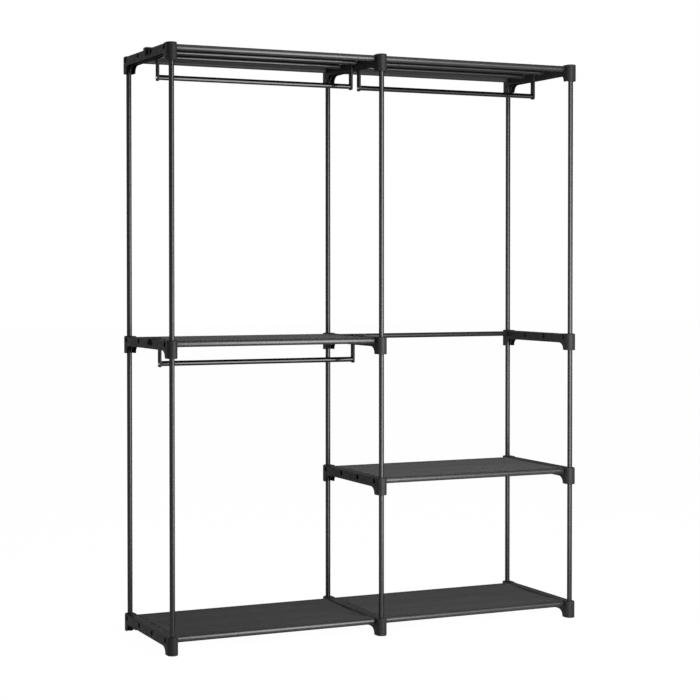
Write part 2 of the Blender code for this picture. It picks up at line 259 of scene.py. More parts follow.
@dataclass(frozen=True)
class MouldedPlastic(Finish):
    """Injection-moulded plastic: a fine spark texture and softly broken edges."""

    grain_scale: float = 2200.0
    grain_detail: float = 2.0
    grain_depth: float = 0.03 * MM
    edge_radius: float = 0.5 * MM
    edge_samples: int = 4

    def relief(self, graph: Graph) -> Socket:
        """Spark texture over edges that are rounded in the shading."""
        samples = {"samples": self.edge_samples}
        return self.grained(graph, Normal=graph.result("Bevel", self.edge_radius, settings=samples))


@dataclass(frozen=True)
class CoatedSteel(Finish):
    """Steel under a baked coat, with a faint orange peel."""

    grain_depth: float = 0.001 * MM


@dataclass(frozen=True)
class BondedCloth(Finish):
    """Non-woven cloth: pressed fibres with rows of small bonded points."""

    grain_detail: float = 4.0
    grain_depth: float = 0.006 * MM
    point_pitch: float = 1.6 * MM
    point_depth: float = 0.012 * MM
    point_span: Point = (0.15, 0.45)
    point_turn: float = math.pi / 4
    sheen: float = 0.06
    sheen_roughness: float = 0.36

    def relief(self, graph: Graph) -> Socket:
        """Fibres with the bonded points pressed into them, row beside row.

        Args:
            graph: the tree to write in.

        Returns:
            The surface normal after both reliefs.
        """
        turn = Euler((0, 0, self.point_turn))
        rows = graph.result("Mapping", Vector=graph.place(), Rotation=turn)
        points = graph.result("TexVoronoi", Vector=rows, Scale=1 / self.point_pitch, Randomness=0.0)
        pressed = graph.remap(points, self.point_span)
        return graph.bump(pressed, self.point_depth, Normal=self.grained(graph))


@dataclass(frozen=True)
class SewingThread(Finish):
    """Twisted polyester thread."""

    grain_scale: float = 1500.0
    grain_depth: float = 0.05 * MM


PLASTIC = MouldedPlastic(
    "moulded_plastic", "black_plastic", (0.009, 0.009, 0.0098), 0.52, specular=0.13,
    edge_dulling=0.95,
)
STEEL = CoatedSteel(
    "satin_coat", "coated_steel", (0.005, 0.005, 0.0053), 0.32, roughness_spread=0.012,
    specular=0.34, edge_dulling=0.97, dull_span=(0.05, 0.6),
)
GLOSS = CoatedSteel(
    "gloss_coat", "gloss_steel", (0.002, 0.002, 0.002), 0.12, roughness_spread=0.008,
    specular=0.25,
)
CLOTH = BondedCloth(
    "bonded_cloth", "black_cloth", (0.014, 0.014, 0.015), 0.34, roughness_spread=0.015,
    specular=0.34, edge_dulling=1.0, dull_span=(0.1, 0.5),
)
THREAD = SewingThread("sewing_thread", "black_cloth", (0.012, 0.012, 0.013), 0.7, specular=0.2)
ZINC = CoatedSteel("plated_screw", "", (0.62, 0.62, 0.64), 0.28, metallic=1.0, colour_spread=0.05)


def evenly(whole: float, steps: int) -> list[float]:
    """Even steps from nothing to the whole, both among them."""
    return [whole * i / steps for i in range(steps + 1)]


def arc(steps: int, whole: float = QUARTER) -> list[Point]:
    """Cosine and sine of even turns from nothing to the whole."""
    return [(math.cos(turn), math.sin(turn)) for turn in evenly(whole, steps)]


def circle(radius: float, sides: int, centre: Point = (0.0, 0.0)) -> list[Point]:
    """Corner points of a regular polygon, the first on the first axis."""
    turns = arc(sides, 2 * math.pi)[:-1]
    return [(centre[0] + radius * c, centre[1] + radius * s) for c, s in turns]


def rectangle(low_a: float, high_a: float, low_b: float, high_b: float) -> list[Point]:
    """Corner points of a rectangle."""
    return [(low_a, low_b), (high_a, low_b), (high_a, high_b), (low_a, high_b)]


def fillet(corners: list[tuple[Point, float]], steps: int = 5) -> list[Point]:
    """Round the corners of an outline.

    Args:
        corners: each corner with its radius, 0 where it stays sharp.
        steps: pieces in each round corner.

    Returns:
        The outline's points.
    """
    points = []
    for i, (corner, radius) in enumerate(corners):
        if radius <= 0:
            points.append(corner)
            continue
        here = Vector(corner)
        before = (Vector(corners[i - 1][0]) - here).normalized()
        after = (Vector(corners[(i + 1) % len(corners)][0]) - here).normalized()
        half = before.angle(after) / 2
        reach = radius / math.tan(half)
        centre = here + (before + after).normalized() * (radius / math.sin(half))
        first = here + before * reach - centre
        last = here + after * reach - centre
        for share in evenly(1.0, steps):
            points.append(tuple(centre + first.lerp(last, share).normalized() * radius))
    return points


def placed(name: str, data: bpy.types.ID) -> bpy.types.Object:
    """Put a new object into the scene.

    Args:
        name: its name.
        data: its mesh, light or camera.

    Returns:
        The object.
    """
    obj = bpy.data.objects.new(name, data)
    bpy.context.scene.collection.objects.link(obj)
    return obj


def finished(bm: Shape, name: str, sharp: float | None = SHARP_ANGLE) -> Mesh:
    """Turn a bmesh into a mesh with smooth round faces and sharp corners.

    Args:
        bm: the shape; it is freed.
        name: the mesh's name.
        sharp: the angle in degrees past which an edge stays sharp, or None for an open surface.

    Returns:
        The mesh.
    """
    if sharp is not None:
        bmesh.ops.recalc_face_normals(bm, faces=bm.faces)
    mesh = bpy.data.meshes.new(name)
    bm.to_mesh(mesh)
    bm.free()
    mesh.shade_smooth()
    if sharp is not None:
        mesh.set_sharp_from_angle(angle=math.radians(sharp))
    return mesh


def skin(bm: Shape, loops: list[list[bmesh.types.BMVert]], closed: bool = True) -> None:
    """Join each loop or row of points to the next one with a band of faces.

    Args:
        bm: the mesh that holds the points.
        loops: the loops in order, with equal point counts.
        closed: whether the last point of each is joined to its first one.
    """
    for first, second in zip(loops, loops[1:]):
        for i in range(len(first) if closed else len(first) - 1):
            j = (i + 1) % len(first)
            bm.faces.new((first[i], first[j], second[j], second[i]))


def add_loft(bm: Shape, rings: list[list[Place]]) -> Shape:
    """Skin a row of rings, and cap both ends.

    Args:
        bm: the mesh that receives the skin.
        rings: the rings in order, with equal point counts.

    Returns:
        The same bmesh.
    """
    loops = [[bm.verts.new(p) for p in ring] for ring in rings]
    skin(bm, loops)
    bm.faces.new(loops[0][::-1])
    bm.faces.new(loops[-1])
    return bm


def add_prism(bm: Shape, outline: list[Point], start: float, end: float, axis: Axis) -> Shape:
    """Add an outline extruded along an axis from its start to its end, and hand the bmesh back."""
    return add_loft(bm, [[axis.point(s, a, b) for a, b in outline] for s in (start, end)])


def prism(name: str, outline: list[Point], start: float, end: float, axis: Axis) -> Mesh:
    """An outline extruded along an axis from its start to its end, as a mesh."""
    return finished(add_prism(bmesh.new(), outline, start, end, axis), name)


def turned(
    bm: Shape, profile: list[Point], sides: int, axis: Axis, centre: Point = (0.0, 0.0)
) -> Shape:
    """Add a solid turned about an axis from places along it and radii, and hand the bmesh back."""
    rings = [[axis.point(s, a, b) for a, b in circle(r, sides, centre)] for s, r in profile]
    return add_loft(bm, rings)


def each(operation: str, *tools: Mesh, **shapes: Shape) -> list[Step]:
    """The same carving step for each tool and for each shape, which takes its keyword's name."""
    made = [finished(bm, name) for name, bm in shapes.items()]
    return [(operation, tool) for tool in (*tools, *made)]


def carve(mesh: Mesh, steps: list[Step]) -> Mesh:
    """Join to or cut from a mesh, one tool after another.

    Args:
        mesh: the mesh to start from.
        steps: an operation, JOIN or CUT, and its tool.

    Returns:
        The result, as a new mesh.
    """
    base = placed("carve_base", mesh)
    made = [base]
    for operation, tool in steps:
        made.append(placed("carve_tool", tool))
        modifier = base.modifiers.new(operation, "BOOLEAN")
        modifier.operation = operation
        modifier.object = made[-1]
    graph = bpy.context.evaluated_depsgraph_get()
    graph.update()
    result = bpy.data.meshes.new_from_object(base.evaluated_get(graph))
    result.name = mesh.name
    for helper in made:
        bpy.data.objects.remove(helper, do_unlink=True)
    bm = bmesh.new()
    bm.from_mesh(result)
    bmesh.ops.remove_doubles(bm, verts=bm.verts, dist=MERGE_DISTANCE)
    return finished(bm, result.name)


def for_end(mesh: Mesh, end: RodEnd, name: str) -> Mesh:
    """Turn a mesh that suits a rod's left end towards the bay at the given end.

    Args:
        mesh: the mesh for a left end.
        end: the rod's end.
        name: the new mesh's name, before that of the end.

    Returns:
        The turned mesh.
    """
    bm = bmesh.new()
    bm.from_mesh(mesh)
    for vert in bm.verts:
        vert.co.x *= end.value
    return finished(bm, f"{name}_{end.name.lower()}")


@dataclass
class Piece:
    """A shown piece: its mesh, its finish and what of the solid model it stands for."""

    name: str
    mesh: Mesh
    finish: Finish
    body: str
    location: Vector
    node: str = ""
    even: bool = False

    def build(self) -> bpy.types.Object:
        """Place the piece and tie it to its body.

        Returns:
            The placed object.
        """
        obj = placed(self.name, self.mesh)
        obj.location = self.location
        if not self.mesh.materials:
            self.mesh.materials.append(self.finish.material())
        if self.even:
            obj.modifiers.new("even_shading", "WEIGHTED_NORMAL").keep_sharp = True
        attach(obj, self.body)
        if self.node:
            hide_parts(self.node)
        LOG.info("%s: %d faces, on %s", self.name, len(self.mesh.polygons), self.body)
        return obj


@dataclass
class NodeBox:
    """The room that a node of the solid model takes at rest."""

    node: str

    def __post_init__(self) -> None:
        """Read the node's box and its body."""
        self.low, self.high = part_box(self.node)
        self.body = frame["nodes"][self.node]["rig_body"]
        self.middle = (self.low + self.high) / 2
        self.size = self.high - self.low


def nodes_named(start: str) -> list[str]:
    """The solid model's nodes whose names start like this, in order."""
    return sorted(name for name in frame["nodes"] if name.startswith(start))


@dataclass
class Tube:
    """Drawn steel tube with a wall, open ends and broken edges."""

    length: float
    axis: Axis
    radius: float = TUBE_RADIUS
    wall: float = 0.8 * MM
    broken_edge: float = 0.2 * MM
    sides: int = 40

    def mesh(self) -> Mesh:
        """The tube about its own middle.

        Returns:
            The mesh, with its ends open onto the bore and softly broken.
        """
        half, inner, soft = self.length / 2, self.radius - self.wall, self.broken_edge
        near, far, outer = -half + soft, half - soft, self.radius
        profile = [
            (-half, inner + soft), (-half, outer - soft), (near, outer), (far, outer),
            (half, outer - soft), (half, inner + soft), (far, inner), (near, inner),
        ]
        bm = bmesh.new()
        rings = [
            [bm.verts.new(self.axis.point(s, a, b)) for a, b in circle(r, self.sides)]
            for s, r in profile
        ]
        skin(bm, [*rings, rings[0]])
        return finished(bm, f"tube_{self.axis.value}_{round(self.length / MM)}")


@dataclass
class TubeWork:
    """All the rack's straight tubes, each put where its solid is."""

    starts: tuple[str, ...] = ("post_", "shelf_tube_", "support_tube_", "cross_tube_")
    made: dict[tuple[str, Axis, int], Mesh] = field(default_factory=dict)

    def add(self, node: str, axis: Axis, finish: Finish) -> None:
        """Stand one tube in for its node.

        Args:
            node: the node that the tube stands in for.
            axis: the way the tube runs.
            finish: its finish.
        """
        box = NodeBox(node)
        length = box.size["XYZ".index(axis.value)]
        key = (finish.name, axis, round(length / CLEARANCE))
        if key not in self.made:
            self.made[key] = Tube(length, axis).mesh()
        name = node.replace("post_", "upright_").replace("tube_", "rail_tube_")
        name = name.replace("hanging_rod_", "clothes_rod_")
        Piece(name, self.made[key], finish, box.body, box.middle, node).build()

    def build(self) -> None:
        """Make the posts, the shelves' tubes and the cross tube."""
        for start in self.starts:
            axis = Axis.Z if start == "post_" else Axis.X
            for node in nodes_named(start):
                self.add(node, axis, STEEL)


@dataclass
class SideRail:
    """Moulded side rail: a shell with sockets for the posts and bosses for the shelf tubes."""

    kind: RailKind
    size: Vector
    recess: float = 2.0 * MM
    recess_start: float = 18.0 * MM
    recess_slope: float = 10.0 * MM
    top_radius: float = 3.0 * MM
    foot_radius: float = 1.6 * MM
    wall: float = 2.2 * MM
    underside: float = 23.5 * MM
    flare_foot: float = 17.0 * MM
    flare_reach: float = 41.5 * MM
    flare_corner: float = 3.0 * MM
    hole_height: float = 42.0 * MM
    hole_inset: float = 19.0 * MM
    holes: int = 4
    boss_wall: float = 2.0 * MM
    rim: float = 0.6 * MM
    web: float = 2.4 * MM
    rib: float = 1.6 * MM
    mouth: float = 10.0 * MM
    floor: float = 3.0 * MM
    cap: float = 5.0 * MM
    end_steps: int = 20
    slope_steps: int = 6
    round_steps: int = 4
    flare_steps: int = 12
    bore_sides: int = 32

    def __post_init__(self) -> None:
        """Work out the sizes that the others set."""
        self.half_width = self.size.x / 2
        self.post_y = self.size.y / 2 - self.half_width
        self.height = self.size.z
        self.roof = self.height - self.recess - self.wall / 2
        self.bore = TUBE_RADIUS + CLEARANCE
        first = self.post_y - self.hole_inset
        self.hole_places = [first * (2 * i / (self.holes - 1) - 1) for i in range(self.holes)]

    def top_at(self, y: float) -> float:
        """Height of the top face at a place along the rail: lower between the sockets."""
        share = min(max((self.post_y - abs(y) - self.recess_start) / self.recess_slope, 0.0), 1.0)
        return self.height - self.recess * share * share * (3 - 2 * share)

    def plan(self) -> list[tuple[float, Point]]:
        """Points round the rail in plan, each with its outward direction.

        Returns:
            The points on the rail's middle line in order, each with a direction of unit length.
        """
        points = []
        for side in (1, -1):
            for c, s in arc(self.end_steps, math.pi):
                points.append((side * self.post_y, (side * c, side * s)))
            slope = evenly(self.recess_slope, self.slope_steps)
            ys = [side * (self.post_y - (self.recess_start + part)) for part in slope]
            points += [(y, (-side, 0.0)) for y in ys + [-y for y in reversed(ys)]]
        return points

    def outside(self) -> Mesh:
        """The rail's outer form, rounded along the top and at the foot.

        Returns:
            The form as a closed mesh, still solid.
        """
        foot, top, turns = self.foot_radius, self.top_radius, arc(self.round_steps)
        low = [(foot * (1 - s), foot * (1 - c), False) for c, s in turns]
        high = [(top * (1 - c), top * (1 - s), True) for c, s in turns]
        bm = bmesh.new()
        loops = []
        for inset, level, from_top in low + high:
            radius = self.half_width - inset
            loop = []
            for y, (dx, dy) in self.plan():
                z = self.top_at(y) - level if from_top else level
                loop.append(bm.verts.new((radius * dx, y + radius * dy, z)))
            loops.append(loop)
        skin(bm, loops)
        bm.faces.new(loops[0][::-1])
        # The top is flat over the sockets, with a soft step down to the recess between them.
        end, half = self.end_steps + 1, len(loop) // 2
        rear, left = loop[:end], loop[end:half]
        front, right = loop[half : half + end], loop[half + end :][::-1]
        bm.faces.new([right[0], *rear, left[0]])
        for i in range(len(left) - 1):
            bm.faces.new((right[i + 1], right[i], left[i], left[i + 1]))
        bm.faces.new([left[-1], *front, right[-1]])
        return finished(bm, f"side_rail_{self.kind.value}")

    def flare(self) -> list[Point]:
        """Underside of the rear end, from its socket foot to the plain rail.

        Returns:
            The points as y, z, from below the foot upwards.
        """
        soft, rise = self.flare_corner, self.underside - self.flare_corner
        foot, run = self.flare_foot - soft, self.flare_reach - self.flare_foot
        points = [(foot, -OVERRUN)]
        points += [(foot + soft * s, soft * (1 - c)) for c, s in arc(self.round_steps)]
        turns = arc(self.flare_steps)[1:]
        points += [(self.flare_reach - run * c, soft + rise * s) for c, s in turns]
        return [(self.post_y - reach, z) for reach, z in points]

    def arch(self) -> Mesh:
        """The space under the rail between its sockets, as a cutter."""
        outline = [(-y, z) for y, z in self.flare()] + self.flare()[::-1]
        return prism("arch", outline, -self.half_width - OVERRUN, self.half_width + OVERRUN, Axis.X)

    def pocket(self) -> Mesh:
        """The hollow inside the shell.

        Returns:
            The cutter for the hollow.
        """
        radius = self.half_width - self.wall
        outline = [
            (side * radius * c, side * (self.post_y + radius * s))
            for side in (1, -1)
            for c, s in arc(self.end_steps, math.pi)
        ]
        roof = self.height - self.recess - self.wall
        return prism("pocket", outline, -OVERRUN, roof, Axis.Z)

    def middle_web(self) -> Mesh:
        """The plate along the rail's middle, which the arch then cuts to the shell's own line."""
        plan = rectangle(-self.web / 2, self.web / 2, -self.post_y, self.post_y)
        return prism("web", plan, self.foot_radius, self.roof, Axis.Z)

    def inner_work(self) -> list[Step]:
        """Bosses and ribs inside the shell.

        Returns:
            The joining steps, in order.
        """
        reach, boss = self.half_width - self.wall / 2, self.bore + self.boss_wall
        blocks, posts, ribs = bmesh.new(), bmesh.new(), bmesh.new()
        for y in self.hole_places:
            corners = rectangle(-reach, reach, y - boss, y + boss)
            add_prism(blocks, corners, self.hole_height - boss, self.roof, Axis.Z)
        floor = 0.0 if self.kind is RailKind.BOTTOM else self.mouth
        for y in (-self.post_y, self.post_y):
            turned(posts, [(floor, boss), (self.roof, boss)], self.bore_sides, Axis.Z, (0.0, y))
            corners = rectangle(-reach, reach, y - self.rib / 2, y + self.rib / 2)
            add_prism(ribs, corners, floor + self.boss_wall, self.roof, Axis.Z)
        return each(JOIN, tube_blocks=blocks, post_bosses=posts, ribs=ribs)

    def bores(self) -> list[Step]:
        """Holes for the shelf tubes and for the posts, with broken rims.

        Returns:
            The cutting steps, in order.
        """
        tubes, posts = bmesh.new(), bmesh.new()
        wide = self.bore + self.rim + OVERRUN
        profile = [(self.web / 2, self.bore), (self.half_width - self.rim, self.bore)]
        profile.append((self.half_width + OVERRUN, wide))
        for y in self.hole_places:
            for side in (-1, 1):
                ends = [(side * along, radius) for along, radius in profile]
                turned(tubes, ends, self.bore_sides, Axis.X, (y, self.hole_height))
        start = [(-OVERRUN, self.bore + self.rim), (self.mouth, self.bore)]
        if self.kind is RailKind.BOTTOM:
            start = [(self.floor, self.bore)]
        end = [(self.height - self.rim, self.bore), (self.height + OVERRUN, wide)]
        if self.kind is RailKind.TOP:
            end = [(self.height - self.cap, self.bore)]
        for y in (-self.post_y, self.post_y):
            turned(posts, start + end, self.bore_sides, Axis.Z, (0.0, y))
        return each(CUT, tube_bores=tubes, post_bores=posts)

    def mesh(self) -> Mesh:
        """The whole rail, about its own middle and standing on its underside."""
        steps = [(CUT, self.pocket()), (JOIN, self.middle_web()), (CUT, self.arch())]
        return carve(self.outside(), steps + self.inner_work() + self.bores())


@dataclass
class RailWork:
    """All the side rails."""

    made: dict[RailKind, Mesh] = field(default_factory=dict)

    def build(self) -> None:
        """Stand a moulded rail in for each node."""
        for node in nodes_named("rail_"):
            box, level = NodeBox(node), node.rsplit("_", 1)[-1]
            kind = RailKind(level) if level in ("bottom", "top") else RailKind.MIDDLE
            if kind not in self.made:
                self.made[kind] = SideRail(kind, box.size).mesh()
            place = Vector((box.middle.x, box.middle.y, box.low.z))
            name, mesh = node.replace("rail_", "side_rail_"), self.made[kind]
            Piece(name, mesh, PLASTIC, box.body, place, node, even=True).build()


@dataclass
class Cloth:
    """One shelf's cloth: a strip sewn into a sleeve round its front and rear tubes."""

    node: str
    tubes: tuple[str, ...]
    seed: float
    hooked: bool
    thickness: float = 0.9 * MM
    edge_bow: float = 9.0 * MM
    seam_start: float = 14.0 * MM
    seam_width: float = 9.0 * MM
    seam_dip: float = 0.6 * MM
    seam_spread: float = 1.6 * MM
    seam_steps: int = 4
    seam_clear: float = 2.2
    seam_rows: int = 4
    hem_width: float = 7.0 * MM
    hem_lift: float = 0.35 * MM
    hem_edge: float = 0.5 * MM
    hem_shares: tuple[float, ...] = (0.0, 0.3, 0.8, 1.0, 1.15, 1.4)
    sag: float = 0.6 * MM
    ripple: float = 0.3 * MM
    ripple_scale: float = 9.0
    ripple_stretch: float = 0.7
    row_step: float = 7.0 * MM
    column_step: float = 11.0 * MM
    sleeve_start: float = -math.pi / 6
    sleeve_end: float = -3 * QUARTER
    sleeve_steps: int = 28
    stitch_pitch: float = 3.4 * MM
    stitch_length: float = 2.5 * MM
    stitch_radius: float = 0.3 * MM
    stitch_hem_share: float = 0.8
    stitches_spared: int = 2
    stitch_bends: Point = (0.25, 0.75)
    stitch_sides: int = 6
    stitch_sharp: float = 80.0

    def __post_init__(self) -> None:
        """Take the shelf's sizes from its node and its tubes, and find its two seams."""
        self.box = NodeBox(self.node)
        places = sorted(tuple(NodeBox(tube).middle.yz) for tube in self.tubes)
        self.ys = [y for y, _ in places]
        self.tube_z = places[0][1]
        self.sleeve_radius = TUBE_RADIUS + CLEARANCE + self.thickness / 2
        self.half_width = self.box.size.x / 2
        reach = self.seam_start + self.seam_width / 2
        self.seams = (self.ys[0] + reach, self.ys[-1] - reach)

    def seam_dip_at(self, y: float) -> float:
        """How far both seams pull the cloth down at a place along its length."""
        pulls = (math.exp(-(((y - seam) / self.seam_spread) ** 2)) for seam in self.seams)
        return sum(self.seam_dip * pull for pull in pulls)

    def sag_at(self, y: float) -> float:
        """How far the cloth hangs: 0 at a tube and beyond the outer ones, 1 midway between two."""
        shares = [(y - a) / (b - a) for a, b in zip(self.ys, self.ys[1:]) if a <= y <= b]
        return 4 * shares[0] * (1 - shares[0]) if shares else 0.0

    def rows(self) -> list[tuple[float, float, bool]]:
        """The cloth's line in side view, as y, z and whether it is the open top.

        Returns:
            The line's points, from the front sleeve round to the rear one.
        """
        top, start, end = self.sleeve_radius, self.ys[0], self.ys[-1]
        under = top - self.thickness - CLEARANCE / 2
        seam = [self.seam_start + part for part in evenly(self.seam_width, self.seam_steps)]
        sleeve = [(y, under - self.seam_dip_at(start + y)) for y in reversed(seam)]
        for part in evenly(self.sleeve_end - self.sleeve_start, self.sleeve_steps):
            turn = self.sleeve_start + part
            sleeve.append((top * math.cos(turn), top * math.sin(turn)))
        line = [(start + y, z, False) for y, z in sleeve]
        line += [(y, top, True) for y in self.open_places()]
        return line + [(end - y, z, False) for y, z in reversed(sleeve)]

    def open_places(self) -> list[float]:
        """Where the rows of the open top lie, closer together at the seams.

        Returns:
            The places in order, without both ends.
        """
        start, length = self.ys[0], self.ys[-1] - self.ys[0]
        clear = self.seam_clear * self.seam_spread
        places = [start + part for part in evenly(length, round(length / self.row_step))[1:-1]]
        kept = [y for y in places if all(abs(y - seam) > clear for seam in self.seams)]
        steps = range(-self.seam_rows, self.seam_rows + 1)
        return sorted(kept + [s + self.seam_spread * i / 2 for s in self.seams for i in steps])

    def across(self, share: float, y: float) -> float:
        """A place across the cloth, by share; the left edge lies straight if no hook passes it."""
        bow = 0.0 if share < 0 and not self.hooked else self.edge_bow
        return share * (self.half_width - bow * (1 - min(abs(y) / self.ys[-1], 1.0) ** 2))

    def shares(self) -> list[float]:
        """Where the columns lie, from -1 to 1, closer together at the side hems.

        Returns:
            The columns in order, as shares of the half width.
        """
        hem = [self.hem_width * share / self.half_width for share in self.hem_shares]
        inner = 1 - hem[-1]
        count = round(2 * inner * self.half_width / self.column_step)
        middle = [part - inner for part in evenly(2 * inner, count)[1:-1]]
        return [h - 1 for h in hem] + middle + [1 - h for h in reversed(hem)]

    def height_at(self, x: float, y: float, share: float) -> float:
        """Lift of the open top over its flat level.

        Args:
            x: a place across the cloth.
            y: a place along it.
            share: the column's share of the half width.

        Returns:
            The height, below zero where the cloth hangs.
        """
        from_edge = (1 - abs(share)) * self.half_width
        hem = 1 / (1 + math.exp((from_edge - self.hem_width) / self.hem_edge))
        loose = self.sag_at(y)
        place = (x * self.ripple_scale, y * self.ripple_scale * self.ripple_stretch, self.seed)
        flat = self.hem_lift * hem - self.sag * loose - self.seam_dip_at(y)
        return flat + self.ripple * noise.noise(Vector(place)) * loose

    def lifted(self, share: float, y: float, level: float) -> Place:
        """A point this share of the way to an edge, lifted from a level as the open top is."""
        x = self.across(share, y)
        return x, y, level + self.height_at(x, y, share)

    def sheet_mesh(self) -> Mesh:
        """The cloth as one surface, about the shelf's middle at the tubes' height.

        Returns:
            The open surface, without its thickness.
        """
        bm, shares = bmesh.new(), self.shares()
        grid = []
        for y, z, is_open in self.rows():
            if is_open:
                points = [self.lifted(share, y, z) for share in shares]
            else:
                points = [(self.across(share, y), y, z) for share in shares]
            grid.append([bm.verts.new(point) for point in points])
        skin(bm, grid, closed=False)
        return finished(bm, self.node, None)

    def length(self) -> float:
        """The strip's length before it was sewn, along its line in side view."""
        line = [Vector((y, z)) for y, z, _ in self.rows()]
        return sum((b - a).length for a, b in zip(line, line[1:]))

    def stitches(self) -> list[list[Vector]]:
        """All the stitches of the sleeve seams and the side hems, on the cloth's upper face.

        Returns:
            The two ends of each. A seam's stitches take the ripple where they begin.
        """
        pitch, steps, (start, end) = self.stitch_pitch, (0.0, self.stitch_length), self.seams
        top, half = self.sleeve_radius + self.thickness / 2, self.half_width
        reach = half - self.edge_bow - self.hem_width
        found = []
        for seam in self.seams:
            for i in range(int(2 * reach / pitch)):
                x = i * pitch - reach
                lifts = [self.height_at(x, seam, (x + step) / half) for step in steps]
                ends = zip(steps, lifts)
                found.append([Vector((x + step, seam, top + lift)) for step, lift in ends])
        inner = 1 - self.hem_width * self.stitch_hem_share / half
        for line in (-inner, inner):
            for i in range(1, int((end - start) / pitch) - self.stitches_spared):
                y = start + i * pitch
                found.append([Vector(self.lifted(line, y + step, top)) for step in steps])
        return found

    def stitch_mesh(self) -> Mesh:
        """All the stitches, each a short thread that dips into the cloth at its ends.

        Returns:
            One mesh that holds every stitch.
        """
        bm, ring = bmesh.new(), circle(self.stitch_radius, self.stitch_sides)
        for start, end in self.stitches():
            along = (end - start).normalized()
            across = along.cross(Vector((0, 0, 1))).normalized()
            up = across.cross(along)
            dip = up * -self.stitch_radius
            near, far = (
                [bm.verts.new(start.lerp(end, share) + across * a + up * b) for a, b in ring]
                for share in self.stitch_bends
            )
            first, last = bm.verts.new(start + dip), bm.verts.new(end + dip)
            for i in range(self.stitch_sides):
                j = (i + 1) % self.stitch_sides
                bm.faces.new((near[i], near[j], far[j], far[i]))
                bm.faces.new((first, near[j], near[i]))
                bm.faces.new((last, far[i], far[j]))
        return finished(bm, self.node + "_stitches", self.stitch_sharp)

    def build(self) -> None:
        place = Vector((self.box.middle.x, 0.0, self.tube_z))
        name, body = self.node.replace("fabric_shelf_", "cloth_"), self.box.body
        cloth = Piece(name, self.sheet_mesh(), CLOTH, body, place, self.node).build()
        solid = cloth.modifiers.new("thickness", "SOLIDIFY")
        solid.thickness, solid.offset = self.thickness, 0.0
        stitches = Piece(name + "_stitches", self.stitch_mesh(), THREAD, body, place).build()
        flat = (self.box.size.x, self.length())
        LOG.info("%s cut from %.3f x %.3f m", name, *flat)


@dataclass
class ClothWork:
    """All the shelves' cloths."""

    def build(self) -> None:
        """Sew a cloth round each shelf's tubes."""
        for seed, node in enumerate(nodes_named("fabric_shelf_")):
            shelf = node.replace("fabric_shelf_", "")
            tubes = sorted(n for n in frame["nodes"] if f"tube_{shelf}_" in n)
            bay, level = shelf.split("_")
            hooked = bool(nodes_named(f"rod_hook_{level}_{bay}_"))
            Cloth(node, tuple(tubes), seed * math.e, hooked).build()


